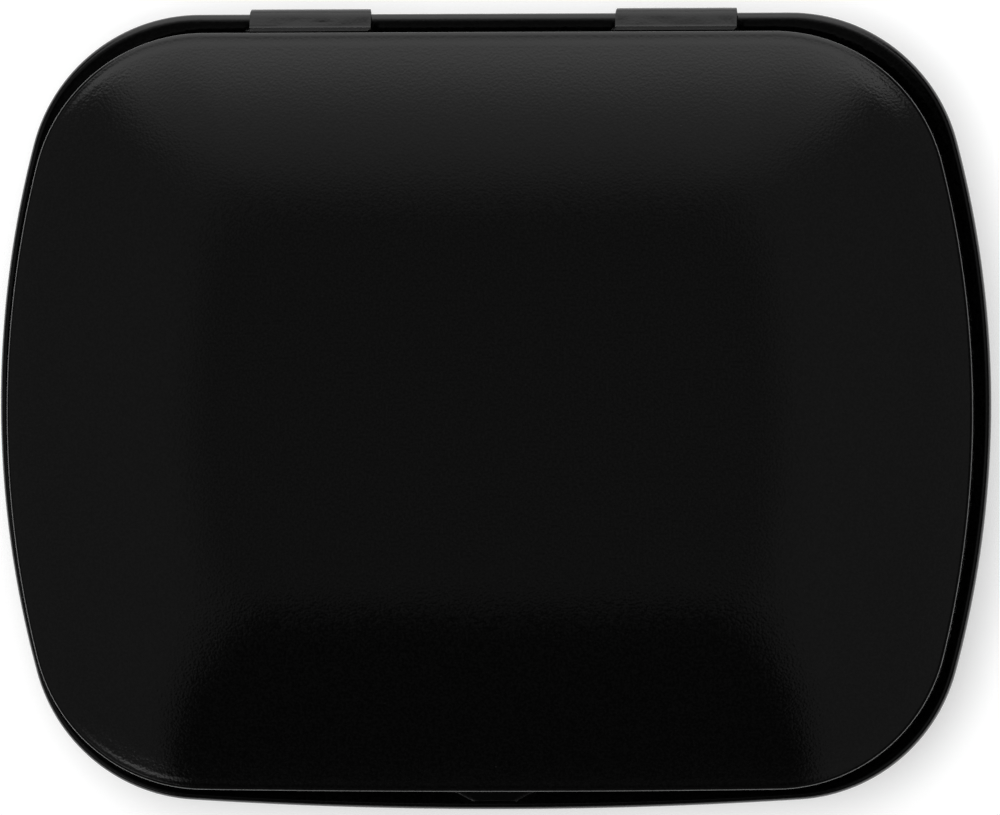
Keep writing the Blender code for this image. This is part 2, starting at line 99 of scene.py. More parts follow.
_, lid_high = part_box("lid")
tray_low, tray_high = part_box("base_tray")
hinge = Vector(frame["joints"][0]["pos_m"])
half_sheet = SHEET / 2
bead_back_y = hinge.y + BEAD_RADIUS
bead_front_y = bead_back_y - TIN_WIDTH
wall_half_length = TIN_LENGTH / 2 - WALL_INSET_SIDE
wall_back_y = bead_back_y - WALL_INSET_BACK
wall_front_y = bead_front_y + WALL_INSET_FRONT
wall_widest_y = (wall_back_y + wall_front_y) / 2
bead_widest_y = (bead_back_y + bead_front_y) / 2 + BEAD_WIDEST_BEHIND
neck_inset = SHEET + LID_CLEARANCE


def stops(start, end, count):
    """Equal steps from start towards end, which is left out."""
    return [start + (end - start) * i / count for i in range(count)]


def arc(start_deg, end_deg, count):
    """Angles in radians of the ends of equal segments, both ends included."""
    degrees = stops(start_deg, end_deg, count) + [end_deg]
    return [math.radians(angle) for angle in degrees]


def back_corner(half_length, back_y, widest_y):
    """Middle of a back corner's arc, which touches the straight back and the bowed side."""
    run = SIDE_RADIUS - CORNER_RADIUS
    mid_y = back_y - CORNER_RADIUS
    over = mid_y - widest_y
    return half_length - SIDE_RADIUS + math.sqrt(run**2 - over**2), mid_y


def front_corner(side_x, side_y, bow_y, front_run, side_run):
    """Middle of a front corner's arc, which touches the bowed side and the bowed front."""
    apart = math.hypot(side_x, side_y - bow_y)
    along = (side_run**2 - front_run**2 + apart**2) / (2 * apart)
    off = math.sqrt(side_run**2 - along**2)
    ux, uy = -side_x / apart, (bow_y - side_y) / apart
    both = [(side_x + ux * along - s * uy * off, side_y + uy * along + s * ux * off) for s in (1, -1)]
    return max(both)


def bow_radius(half_length, bow):
    """Radius of a front that bows out by a little between its corners."""
    return ((half_length - CORNER_RADIUS) ** 2 + bow**2) / (2 * bow)


knuckle_outer_x = back_corner(wall_half_length, wall_back_y, wall_widest_y)[0] - KNUCKLE_FROM_CORNER
knuckle_inner_x = knuckle_outer_x - KNUCKLE_WIDTH
slot_inner_x = knuckle_inner_x - SLOT_CLEARANCE
slot_outer_x = knuckle_outer_x + SLOT_CLEARANCE
BACK_STEPS, SLOT_STEPS, KNUCKLE_STEPS, END_STEPS = 12, 2, 24, 6
CORNER_STEPS, SIDE_STEPS, FRONT_STEPS, LIP_STEPS = 30, 40, 22, 30


def outline(half_length, back_y, front_y, widest_y, front_bow):
    """Plan of a rim as stations (x, y, normal x, normal y), clockwise from the middle of the back."""
    side_x = half_length - SIDE_RADIUS
    back_x, back_mid_y = back_corner(half_length, back_y, widest_y)
    front_radius = bow_radius(half_length, front_bow)
    bow_y = front_y + front_radius
    front_x, front_mid_y = front_corner(
        side_x, widest_y, bow_y, front_radius - CORNER_RADIUS, SIDE_RADIUS - CORNER_RADIUS
    )
    turn_back = math.degrees(math.atan2(back_mid_y - widest_y, back_x - side_x))
    turn_front = math.degrees(math.atan2(front_mid_y - widest_y, front_x - side_x))
    turn_bow = math.degrees(math.atan2(front_mid_y - bow_y, front_x))
    straight = stops(0, slot_inner_x, BACK_STEPS) + stops(slot_inner_x, knuckle_inner_x, SLOT_STEPS)
    straight += stops(knuckle_inner_x, knuckle_outer_x, KNUCKLE_STEPS)
    straight += stops(knuckle_outer_x, slot_outer_x, SLOT_STEPS) + stops(slot_outer_x, back_x, END_STEPS)
    half = [(x, back_y, 0.0, 1.0) for x in straight]
    stretches = (
        (back_x, back_mid_y, CORNER_RADIUS, arc(90, turn_back, CORNER_STEPS)),
        (side_x, widest_y, SIDE_RADIUS, arc(turn_back, turn_front, SIDE_STEPS)[1:-1]),
        (front_x, front_mid_y, CORNER_RADIUS, arc(turn_front, turn_bow, CORNER_STEPS)[:-1]),
    )
    for mid_x, mid_y, radius, angles in stretches:
        for angle in angles:
            nx, ny = math.cos(angle), math.sin(angle)
            half.append((mid_x + radius * nx, mid_y + radius * ny, nx, ny))
    bow_start = front_radius * math.cos(math.radians(turn_bow))
    lip_root = LIP_ROOT_WIDTH / 2
    bowed = stops(bow_start, lip_root, FRONT_STEPS) + stops(lip_root, 0, LIP_STEPS) + [0.0]
    for x in bowed:
        nx = x / front_radius
        ny = -math.sqrt(1 - nx**2)
        half.append((x, bow_y + front_radius * ny, nx, ny))
    return half + [(-x, y, -nx, ny) for x, y, nx, ny in half[-2:0:-1]]


bead_outline = outline(TIN_LENGTH / 2, bead_back_y, bead_front_y, bead_widest_y, BEAD_FRONT_BOW)
wall_outline = outline(wall_half_length, wall_back_y, wall_front_y, wall_widest_y, WALL_FRONT_BOW)
station_count = len(wall_outline)


def ring(rim, inset, level):
    """Points round a rim, moved in along its normals and set at a level."""
    return [Vector((x - nx * inset, y - ny * inset, level)) for x, y, nx, ny in rim]


def between(outer, inner, share, level):
    """A ring part of the way from one ring to another, at a level of its own."""
    return [Vector((*a.lerp(b, share).xy, level)) for a, b in zip(outer, inner)]


def add_rings(mesh, rings, is_open=None):
    """Join rings with bands of faces that look outwards, except where is_open(row, station) says so."""
    rows = [[mesh.verts.new(p) for p in points] for points in rings]
    for row, (low, high) in enumerate(zip(rows, rows[1:])):
        for i in range(station_count):
            j = (i + 1) % station_count
            if not (is_open and is_open(row, i)):
                mesh.faces.new((low[j], low[i], high[i], high[j]))
    return rows


def sheet_piece(name, mesh, materials):
    """Give a pressing's middle surface its thickness: lacquer outside, bare inside, cut edges round it."""
    data = bpy.data.meshes.new(name)
    mesh.to_mesh(data)
    mesh.free()
    data.shade_smooth()
    for material in materials:
        data.materials.append(material)
    piece = bpy.data.objects.new(name, data)
    bpy.context.scene.collection.objects.link(piece)
    sheet = piece.modifiers.new("sheet", "SOLIDIFY")
    sheet.thickness = SHEET
    sheet.offset = 0
    sheet.use_even_offset = True
    sheet.material_offset = 1
    sheet.material_offset_rim = 2
    edges = piece.modifiers.new("deburred", "BEVEL")
    edges.width = CUT_EDGE_ROUND
    edges.segments = CUT_EDGE_STEPS
    edges.limit_method = "ANGLE"
    edges.angle_limit = math.radians(SHARP_DEG)
    return piece


def linear(hex_colour):
    """An sRGB hex colour as linear RGBA."""
    shares = [int(hex_colour[i : i + 2], 16) / 255 for i in (0, 2, 4)]
    return (*(s / 12.92 if s <= 0.04045 else ((s + 0.055) / 1.055) ** 2.4 for s in shares), 1)


def add(tree, kind, inputs=None, **settings):
    """Add a node with its settings. An input takes a number, a colour or the socket that feeds it."""
    made = tree.nodes.new(kind)
    for name, value in settings.items():
        setattr(made, name, value)
    for name, value in (inputs or {}).items():
        if isinstance(value, bpy.types.NodeSocket):
            tree.links.new(value, made.inputs[name])
        else:
            made.inputs[name].default_value = value
    return made


def worked_out(tree, operation, *values):
    """The number that an operation makes of other numbers."""
    return add(tree, "ShaderNodeMath", dict(enumerate(values)), operation=operation).outputs["Value"]


def carried(tree, value, start, end, course="LINEAR"):
    """A number carried over from one range (low, high) to another and held within it."""
    inputs = {"Value": value, "From Min": start[0], "From Max": start[1], "To Min": end[0], "To Max": end[1]}
    return add(tree, "ShaderNodeMapRange", inputs, interpolation_type=course).outputs["Result"]


def mixed(tree, share, first, second):
    """A colour between two others."""
    inputs = {"Factor": share, "A": first, "B": second}
    return add(tree, "ShaderNodeMix", inputs, data_type="RGBA").outputs["Result"]


def cloudy(tree, place, size, detail):
    """A number that wanders softly between 0 and 1, in patches of a size."""
    inputs = {"Vector": place, "Scale": 1 / size, "Detail": detail}
    return add(tree, "ShaderNodeTexNoise", inputs).outputs["Fac"]


def embossed(tree, height, depth, strength, under=None):
    """The way a surface faces where a height between 0 and 1 embosses it, on top of what lies under."""
    inputs = {"Height": height, "Strength": strength, "Distance": depth}
    if under is not None:
        inputs["Normal"] = under
    return add(tree, "ShaderNodeBump", inputs).outputs["Normal"]


def new_surface(name):
    """An empty material, its tree, and the object's own coordinates to draw patterns on."""
    material = bpy.data.materials.new(name)
    material.use_nodes = True
    tree = material.node_tree
    tree.nodes.clear()
    place = add(tree, "ShaderNodeTexCoord").outputs["Object"]
    return material, tree, place


def finish_surface(tree, settings):
    """Give a material's tree its surface and output."""
    shader = add(tree, "ShaderNodeBsdfPrincipled", settings)
    add(tree, "ShaderNodeOutputMaterial", {"Surface": shader.outputs["BSDF"]})


# Black stoving lacquer, roller coated on the flat sheet and baked: a deep black with a soft gloss. It shows a
# fine orange peel of about 0.3 mm, the sheet's grain and dust speckle it, and a few dust grains leave pits.
LACQUER_BLACK = "000000"
LACQUER_DUST = "040404"
LACQUER_IOR = 1.5
LACQUER_ROUGHNESS = (0.095, 0.12)
LACQUER_WAVE_SIZE = 6.0 * MM
LACQUER_WAVE_DETAIL = 3.0
PEEL_SIZE = 0.33 * MM
PEEL_DETAIL = 1.5
PEEL_DEPTH = 0.004 * MM
PEEL_STRENGTH = 0.3
SPECKLE_SIZE = 0.15 * MM
SPECKLE_DETAIL = 0.8
SPECKLE_DEPTH = 0.0065 * MM
SPECKLE_SPREAD = (0.3, 0.7)
SPECKLE_ROUGHNESS = (-0.02, 0.02)
DUST_SPREAD = (0.35, 0.65)
PIT_SPACING = 1.7 * MM
PIT_RADIUS = 0.07 * MM
PIT_DEPTH = 0.005 * MM


def make_lacquer(name):
    """Black lacquer with orange peel, a fine speckle, a few pits and a slow change of gloss."""
    material, tree, place = new_surface(name)
    peel = cloudy(tree, place, PEEL_SIZE, PEEL_DETAIL)
    speckle = cloudy(tree, place, SPECKLE_SIZE, SPECKLE_DETAIL)
    wave = cloudy(tree, place, LACQUER_WAVE_SIZE, LACQUER_WAVE_DETAIL)
    gloss = carried(tree, wave, (0.0, 1.0), LACQUER_ROUGHNESS)
    grain = carried(tree, speckle, SPECKLE_SPREAD, SPECKLE_ROUGHNESS)
    dusty = carried(tree, speckle, DUST_SPREAD, (0.0, 1.0))
    pits = add(tree, "ShaderNodeTexVoronoi", {"Vector": place, "Scale": 1 / PIT_SPACING})
    pit_range = (0.0, PIT_RADIUS / PIT_SPACING)
    hollow = carried(tree, pits.outputs["Distance"], pit_range, (0.0, 1.0), "SMOOTHSTEP")
    pitted = embossed(tree, hollow, PIT_DEPTH, 1.0)
    fine = embossed(tree, speckle, SPECKLE_DEPTH, 1.0, pitted)
    settings = {
        "Base Color": mixed(tree, dusty, linear(LACQUER_BLACK), linear(LACQUER_DUST)),
        "IOR": LACQUER_IOR,
        "Roughness": worked_out(tree, "ADD", gloss, grain),
        "Normal": embossed(tree, peel, PEEL_DEPTH, PEEL_STRENGTH, fine),
    }
    finish_surface(tree, settings)
    return material


# Bare tinplate: steel with a thin bright coat of tin, as it comes off the rolls. It has a warm grey shine
# drawn out in fine lines along the way it was rolled.
TIN_GREY = "c9c6bf"
TIN_STAIN = "b4b1ab"
TIN_ROUGHNESS = (0.2, 0.42)
STAIN_SIZE = 6.0 * MM
STAIN_DETAIL = 4.0
ROLL_LINE = 0.05 * MM
ROLL_LINE_LENGTH = 4.0 * MM
ROLL_LINE_DETAIL = 3.0
ROLL_LINE_DEPTH = 0.003 * MM
ROLL_LINE_STRENGTH = 0.25


def make_tinplate(name):
    """Bare tinplate with rolling lines along X."""
    material, tree, place = new_surface(name)
    lines_per_metre = (1 / ROLL_LINE_LENGTH, 1 / ROLL_LINE, 1 / ROLL_LINE)
    stretched = add(tree, "ShaderNodeMapping", {"Vector": place, "Scale": lines_per_metre})
    lines = cloudy(tree, stretched.outputs["Vector"], 1.0, ROLL_LINE_DETAIL)
    stains = cloudy(tree, place, STAIN_SIZE, STAIN_DETAIL)
    settings = {
        "Base Color": mixed(tree, stains, linear(TIN_GREY), linear(TIN_STAIN)),
        "Metallic": 1.0,
        "Roughness": carried(tree, lines, (0.0, 1.0), TIN_ROUGHNESS),
        "Normal": embossed(tree, lines, ROLL_LINE_DEPTH, ROLL_LINE_STRENGTH),
    }
    finish_surface(tree, settings)
    return material


# The sheet's cut edge: sheared steel, dull and darkened where the lacquer has crept over it.
STEEL_GREY = "55534f"
STEEL_SHEEN = 0.6
STEEL_ROUGHNESS = 0.45
SHEAR_SIZE = 0.12 * MM
SHEAR_DETAIL = 2.0


def make_cut_edge(name):
    """Sheared steel with patches of crept lacquer."""
    material, tree, place = new_surface(name)
    patches = cloudy(tree, place, SHEAR_SIZE, SHEAR_DETAIL)
    settings = {
        "Base Color": mixed(tree, patches, linear(LACQUER_BLACK), linear(STEEL_GREY)),
        "Metallic": STEEL_SHEEN,
        "Roughness": STEEL_ROUGHNESS,
    }
    finish_surface(tree, settings)
    return material


lacquer = make_lacquer("black_stoving_lacquer_satin")
tinplate = make_tinplate("bare_tinplate_as_rolled")
cut_edge = make_cut_edge("sheared_steel_edge")
tin_materials = (lacquer, tinplate, cut_edge)


def foot_profile():
    """Inset and level of the tray's middle surface, from the panel's edge to the top of the foot radius."""
    start = half_sheet + FOOT_RADIUS
    panel, sole = half_sheet + PANEL_RAISE, half_sheet
    step_start = start + FOOT_RING_WIDTH + PANEL_STEP_WIDTH
    profile = []
    for share in stops(0, 1, PANEL_STEP_ROWS):
        ease = share * share * (3 - 2 * share)
        profile.append((step_start - PANEL_STEP_WIDTH * share, panel + (sole - panel) * ease))
    profile += [(inset, sole) for inset in stops(start + FOOT_RING_WIDTH, start, FOOT_RING_ROWS)]
    for angle in arc(0, 90, FOOT_ROWS):
        profile.append((start - FOOT_RADIUS * math.sin(angle), start - FOOT_RADIUS * math.cos(angle)))
    return profile


def bead_rings():
    """The lower fold and flange, the round of the bead, and the groove between the bead and the neck."""
    radius = BEAD_RADIUS - half_sheet
    slimmer = BEAD_RADIUS - BEAD_SLIM_HALF_WIDTH
    rings = []
    for angle in arc(0, 90, FOLD_ROWS):
        inset = half_sheet - FOLD_RADIUS * (1 - math.cos(angle))
        rings.append(ring(wall_outline, inset, hinge.z - radius - FOLD_RADIUS * (1 - math.sin(angle))))
    rings.append(ring(bead_outline, BEAD_RADIUS + SLOT_FRONT, hinge.z - radius))
    for angle in arc(-90, BEAD_TURN_DEG, BEAD_ROWS):
        level = hinge.z + radius * math.sin(angle)
        points = []
        for x, y, nx, ny in bead_outline:
            slim = slimmer * min(1.0, max(0.0, (BEAD_SLIM_BELOW - ny) / BEAD_SLIM_FADE))
            inset = half_sheet + (radius - slim) * (1 - math.cos(angle))
            points.append(Vector((x - nx * inset, y - ny * inset, level)))
        rings.append(points)
    crest, crest_level = rings[-1], hinge.z + radius * math.sin(angle)
    root, root_level = ring(wall_outline, neck_inset + half_sheet, 0), hinge.z - GROOVE_RISE
    for share in stops(0, GROOVE_END, GROOVE_ROWS)[1:]:
        rings.append(between(crest, root, share, crest_level + (root_level - crest_level) * share))
    return rings


def neck_rings():
    """The neck and its edge, rolled inwards so that no cut edge shows."""
    radius = ROLL_RADIUS - half_sheet
    level = tray_high.z - ROLL_RADIUS
    inset = neck_inset + half_sheet
    start = hinge.z - GROOVE_RISE + FOLD_RADIUS
    rings = [ring(wall_outline, inset, z) for z in stops(start, level, NECK_ROWS)]
    for angle in arc(180, 180 - ROLL_TURN_DEG, ROLL_ROWS):
        rolled_in = inset + radius * (1 + math.cos(angle))
        rings.append(ring(wall_outline, rolled_in, level + radius * math.sin(angle)))
    return rings


def make_tray():
    """The tray's pressing, open where the knuckles' rolled ends turn."""
    mesh = bmesh.new()
    foot = foot_profile()
    edge = ring(wall_outline, *foot[0])
    middle = [Vector((0, wall_widest_y, foot[0][1]))] * station_count
    panel = [between(middle, edge, share, foot[0][1]) for share in stops(PANEL_START, 1, PANEL_ROWS)]
    slot_level = hinge.z - SLOT_DEPTH
    wall = [ring(wall_outline, half_sheet, z) for z in stops(foot[-1][1], slot_level, WALL_ROWS)[1:]]
    below = panel + [ring(wall_outline, *point) for point in foot] + wall
    slot_row = len(below)
    bead = bead_rings()
    rings = below + [ring(wall_outline, half_sheet, slot_level)] + bead + neck_rings()
    slot_end_row = slot_row + FOLD_ROWS + 2
    slot_columns = range(BACK_STEPS, BACK_STEPS + 2 * SLOT_STEPS + KNUCKLE_STEPS)

    def is_slot(row, station):
        """Whether a patch of the wall's top, the fold or the flange lies in a slot beside a knuckle."""
        across = min(station, station_count - 1 - station)
        return slot_row <= row < slot_end_row and across in slot_columns

    rows = add_rings(mesh, rings, is_slot)
    mesh.faces.new(rows[0])
    return sheet_piece("tray_pressing", mesh, tin_materials)


tray = make_tray()
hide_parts("base_tray")
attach(tray, "tray")

# The lid: one pressing of the same sheet, lacquered side out. A tight edge, a faint valley and a low shoulder
# lead into the dome. Two tongues of the skirt are rolled round the bead as knuckles, and a third is the thumb
# lip, which ends just above the bead.
EDGE_FOLD_RADIUS = 0.135 * MM
EDGE_FOLD_DEG = 45.0
EDGE_ROUND_RADIUS = 0.42 * MM
EDGE_ROUND_DEG = 72.0
FLARE = 0.36 * MM
FLARE_RUN = 0.25 * MM
DOME_START = 1.2 * MM
DOME_RISE = 1.9 * MM
DOME_RUN = 13.0 * MM
DOME_POWER = 2.2
VALLEY_MIDDLE = 0.33 * MM
VALLEY_WIDTH = 0.06 * MM
VALLEY_SLOPE = 0.04
SHOULDER_AT_SIDE = 0.34 * MM
SHOULDER_BACK_SHIFT = 0.36 * MM
SHOULDER_FRONT_SHIFT = 0.2 * MM
SHOULDER_WIDTH = 0.17 * MM
SHOULDER_SLOPE = 0.06
LAST_RING_SHARE = 0.93
CORNER_GROWTH = 0.7
CORNER_GROWTH_START = 3.0 * MM
DEPTH_HALVINGS = 22
DOME_TABLE_STEPS = 2600
SHORT_OF_END = 0.001
CROWN_END = 0.96
SKIRT_ROWS, EDGE_FOLD_ROWS, EDGE_ROUND_ROWS = 8, 5, 8
SHOULDER_ROWS, SLOPE_ROWS, CROWN_ROWS = 26, 34, 30
RIPPLE_SIZE = 7.0 * MM
RIPPLE_DEPTH = 0.012 * MM
RIPPLE_FADE_ROWS = 20
PIN_CLEARANCE = 0.06 * MM
KNUCKLE_FOLD_RADIUS = 0.26 * MM
KNUCKLE_SLOPE_DEG = 19.0
KNUCKLE_END_DEG = -85.0
KNUCKLE_TAPER = 0.1 * MM
KNUCKLE_TAPER_START = 0.45
KNUCKLE_FOLD_ROWS, KNUCKLE_SLOPE_ROWS, KNUCKLE_ROLL_ROWS = 5, 9, 24
DENT_SIZE = 0.9 * MM
DENT_DEPTH = 0.03 * MM
DENT_GROWTH_ROWS = 6
DENT_FADE = 0.7
DENT_SEED = 7
DENT_SEED_SPREAD = 50
MARK_DEPTH = 0.02 * MM
MARK_LENGTH = 0.3 * MM
MARK_WIDTH = 0.08 * MM
MARK_X = -10.4 * MM
MARK_Y = -0.1 * MM
LIP_CLEARANCE = 0.15 * MM
LIP_TIP_WIDTH = 2.6 * MM
LIP_REACH = 0.6 * MM
LIP_FOLD_RADIUS = 0.2 * MM
LIP_FOLD_DEG = 82.0
LIP_SIDE_DROP = 0.035 * MM
LIP_SIDE_WIDTH = 0.5 * MM
LIP_SIDE_GROWTH = 0.125
LIP_FOLD_ROWS, LIP_ROWS = 6, 16

lip_fold = math.radians(LIP_FOLD_DEG)
lip_run = LIP_FOLD_RADIUS * (1 - math.cos(lip_fold))
lip_drop = LIP_FOLD_RADIUS * math.sin(lip_fold) + half_sheet
lip_drop += (half_sheet + LIP_REACH - lip_run) / math.tan(lip_fold)
skirt_over_axis = BEAD_RADIUS + LIP_CLEARANCE + lip_drop
skirt_level = hinge.z + skirt_over_axis
crown_level = lid_high.z - half_sheet
wall_front_radius = bow_radius(wall_half_length, WALL_FRONT_BOW)
dome_slope = DOME_POWER * DOME_RISE / (DOME_RUN - DOME_START)


def bell(distance, middle, width):
    """A smooth bump of height 1."""
    return math.exp(-(((distance - middle) / width) ** 2))


def lid_slope(inset):
    """Rise per run of the lid's middle surface at a distance in from the skirt."""
    share = max(0.0, min(1.0, (inset - DOME_START) / (DOME_RUN - DOME_START)))
    slope = dome_slope * (1 - share) ** (DOME_POWER - 1)
    return slope - VALLEY_SLOPE * bell(inset, VALLEY_MIDDLE, VALLEY_WIDTH)


def dome_table():
    """Levels of the lid's middle surface at small steps in from the skirt, added up from its slopes."""
    step = DOME_RUN / DOME_TABLE_STEPS
    drops = [0.0]
    for i in range(DOME_TABLE_STEPS):
        drops.append(drops[-1] + lid_slope(DOME_RUN - (i + 0.5) * step) * step)
    return step, [crown_level - drop for drop in reversed(drops)]


dome_step, dome_levels = dome_table()


def dome_level(inset):
    """Height of the lid's middle surface at a distance in from the skirt's outer face."""
    place = min(inset / dome_step, DOME_TABLE_STEPS - SHORT_OF_END)
    low = int(place)
    return dome_levels[low] + (dome_levels[low + 1] - dome_levels[low]) * (place - low)


def shoulder_drop(depth, normal_y):
    """How much lower the lid lies outside its low shoulder, which runs nearer to the edge at the sides."""
    shift = SHOULDER_BACK_SHIFT if normal_y > 0 else SHOULDER_FRONT_SHIFT
    past = (depth - SHOULDER_AT_SIDE - shift * normal_y**2) / SHOULDER_WIDTH
    return SHOULDER_SLOPE * SHOULDER_WIDTH * math.sqrt(math.pi) / 2 * (1 - math.erf(past))


def turning_point(side, depth):
    """Middle of the round corner between two contours that both lie a depth inside the rim, for x over 0."""
    side_x = wall_half_length - SIDE_RADIUS
    if side > 0:
        y = wall_back_y - depth
        return side_x + math.sqrt((SIDE_RADIUS - depth) ** 2 - (y - wall_widest_y) ** 2), y
    bow_y = wall_front_y + wall_front_radius
    return front_corner(side_x, wall_widest_y, bow_y, wall_front_radius - depth, SIDE_RADIUS - depth)


def is_within(x, y, depth):
    """Whether a point lies inside the lid's contour of a depth. Deeper contours have rounder corners."""
    past = max(0.0, depth - DOME_START)
    reach = CORNER_RADIUS + CORNER_GROWTH * past**2 / (past + CORNER_GROWTH_START)
    side = 1 if y > wall_widest_y else -1
    mid_x, mid_y = turning_point(side, reach)
    over_x, over_y = x - mid_x, (y - mid_y) * side
    normal_x = mid_x - wall_half_length + SIDE_RADIUS
    normal_y = (mid_y - wall_widest_y) * side
    in_corner = over_y > 0 and normal_x * over_y - normal_y * over_x > 0 and over_x > 0
    return not (in_corner and math.hypot(over_x, over_y) > reach - depth)


def distance_in(x, y):
    """How deep a point lies inside the lid's rim, in contours that grow rounder towards the crown."""
    x = abs(x)
    shallow = 0.0
    deep = min(
        wall_back_y - y,
        SIDE_RADIUS - math.hypot(x - wall_half_length + SIDE_RADIUS, y - wall_widest_y),
        wall_front_radius - math.hypot(x, y - wall_front_y - wall_front_radius),
    )
    if deep > DOME_RUN + CORNER_GROWTH_START or is_within(x, y, deep):
        return deep
    for _ in range(DEPTH_HALVINGS):
        middle = (shallow + deep) / 2
        if is_within(x, y, middle):
            shallow = middle
        else:
            deep = middle
    return shallow


def edge_profile():
    """Inset and rise of the lid's edge over the skirt's top: a tight fold that opens into a rounder bend."""
    fold, bend = EDGE_FOLD_RADIUS - half_sheet, EDGE_ROUND_RADIUS - half_sheet
    profile = []
    for angle in arc(0, EDGE_FOLD_DEG, EDGE_FOLD_ROWS):
        profile.append((half_sheet + fold * (1 - math.cos(angle)), fold * math.sin(angle)))
    inset, rise = profile[-1]
    turned = math.radians(EDGE_FOLD_DEG)
    for angle in arc(EDGE_FOLD_DEG, EDGE_ROUND_DEG, EDGE_ROUND_ROWS)[1:]:
        along = bend * (math.cos(turned) - math.cos(angle))
        profile.append((inset + along, rise + bend * (math.sin(angle) - math.sin(turned))))
    return profile


def flared(point, share):
    """A point of the skirt, pulled out over the knuckles as the tongues of sheet are bent out of it."""
    at_knuckle = min(abs(point.x) - knuckle_inner_x, knuckle_outer_x - abs(point.x)) / FLARE_RUN
    if point.y < wall_widest_y or at_knuckle <= -1:
        return point
    return point + Vector((0, FLARE * share**2 * min(1.0, 1 + at_knuckle), 0))


def lid_rings():
    """The lid's middle surface from the skirt's lower edge over its edge and low shoulder to the crown."""
    edge = edge_profile()
    edge_end, edge_rise = edge[-1]
    edge_level = dome_level(edge_end) - edge_rise
    sunk = [Vector((0, 0, shoulder_drop(edge_end, station[3]))) for station in wall_outline]
    rings = []
    for share in stops(0, 1, SKIRT_ROWS):
        points = ring(wall_outline, half_sheet, skirt_level + (edge_level - skirt_level) * share)
        rings.append([flared(point, 1 - share) - drop * share for point, drop in zip(points, sunk)])
    for inset, rise in edge:
        points = ring(wall_outline, inset, edge_level + rise)
        rings.append([point - drop for point, drop in zip(points, sunk)])
    last_inset = CORNER_RADIUS * LAST_RING_SHARE
    insets = stops(edge_end, DOME_START, SHOULDER_ROWS)[1:]
    insets += stops(DOME_START, last_inset, SLOPE_ROWS) + [last_inset]
    for inset in insets:
        points = []
        for point, station in zip(ring(wall_outline, inset, 0), wall_outline):
            depth = distance_in(point.x, point.y)
            points.append(Vector((*point.xy, dome_level(depth) - shoulder_drop(depth, station[3]))))
        rings.append(points)
    middle = [Vector((0, wall_widest_y, crown_level))] * station_count
    outer = rings[-1]
    for share in stops(0, CROWN_END, CROWN_ROWS)[1:]:
        flat = between(outer, middle, share, crown_level)
        rings.append([Vector((p.x, p.y, dome_level(distance_in(p.x, p.y)))) for p in flat])
    return rings


def on_line(start, end, share):
    """The point that lies a share of the way from one point of a section to another."""
    return start[0] + (end[0] - start[0]) * share, start[1] + (end[1] - start[1]) * share


def knuckle_path():
    """Middle line of a knuckle (y, z): out of the skirt, sloping over the bead and rolled round it."""
    slope = math.radians(KNUCKLE_SLOPE_DEG)
    pin = BEAD_RADIUS + PIN_CLEARANCE + half_sheet
    fold_y = wall_back_y - half_sheet - hinge.y + FLARE + KNUCKLE_FOLD_RADIUS
    fold_z = (pin + KNUCKLE_FOLD_RADIUS - fold_y * math.sin(slope)) / math.cos(slope)
    path = []
    for angle in arc(180, 270 - KNUCKLE_SLOPE_DEG, KNUCKLE_FOLD_ROWS):
        y = fold_y + KNUCKLE_FOLD_RADIUS * math.cos(angle)
        path.append((y, fold_z + KNUCKLE_FOLD_RADIUS * math.sin(angle)))
    start, tangent = path[-1], (pin * math.sin(slope), pin * math.cos(slope))
    path += [on_line(start, tangent, share) for share in stops(0, 1, KNUCKLE_SLOPE_ROWS)[1:]]
    for angle in arc(90 - KNUCKLE_SLOPE_DEG, KNUCKLE_END_DEG, KNUCKLE_ROLL_ROWS):
        path.append((pin * math.cos(angle), pin * math.sin(angle)))
    return [(hinge.y + y, hinge.z + z) for y, z in path]


def add_strip(mesh, root, rows):
    """Carry a stretch of the skirt's edge on through more rows of points, as a bent tongue of sheet."""
    last = root
    for points in rows:
        row = [mesh.verts.new(p) for p in points]
        for i in range(len(row) - 1):
            mesh.faces.new((row[i + 1], row[i], last[i], last[i + 1]))
        last = row


def add_knuckle(mesh, root, dice):
    """One knuckle, narrower at its rolled end and a little dented by the rolling tool. The left is marked."""
    path = knuckle_path()
    middle_x = (root[0].co.x + root[-1].co.x) / 2
    seed = Vector((dice.uniform(0, DENT_SEED_SPREAD), dice.uniform(0, DENT_SEED_SPREAD), 0))
    rows = []
    for n, (y, z) in enumerate(path):
        late = max(0.0, (n / (len(path) - 1) - KNUCKLE_TAPER_START) / (1 - KNUCKLE_TAPER_START))
        narrow = 1 - KNUCKLE_TAPER * min(1.0, 2 * late) / (KNUCKLE_WIDTH / 2)
        row = []
        for vert in root:
            x = middle_x + (vert.co.x - middle_x) * narrow
            dent = DENT_DEPTH * noise.noise(seed + Vector((x, y, z)) / DENT_SIZE)
            dent = dent * min(1.0, n / DENT_GROWTH_ROWS) * (1 - DENT_FADE * late)
            mark = MARK_DEPTH * bell(x, MARK_X, MARK_LENGTH) * bell(y, hinge.y + MARK_Y, MARK_WIDTH)
            row.append(Vector((x, y, z + dent - mark)))
        rows.append(row)
    add_strip(mesh, root, rows)


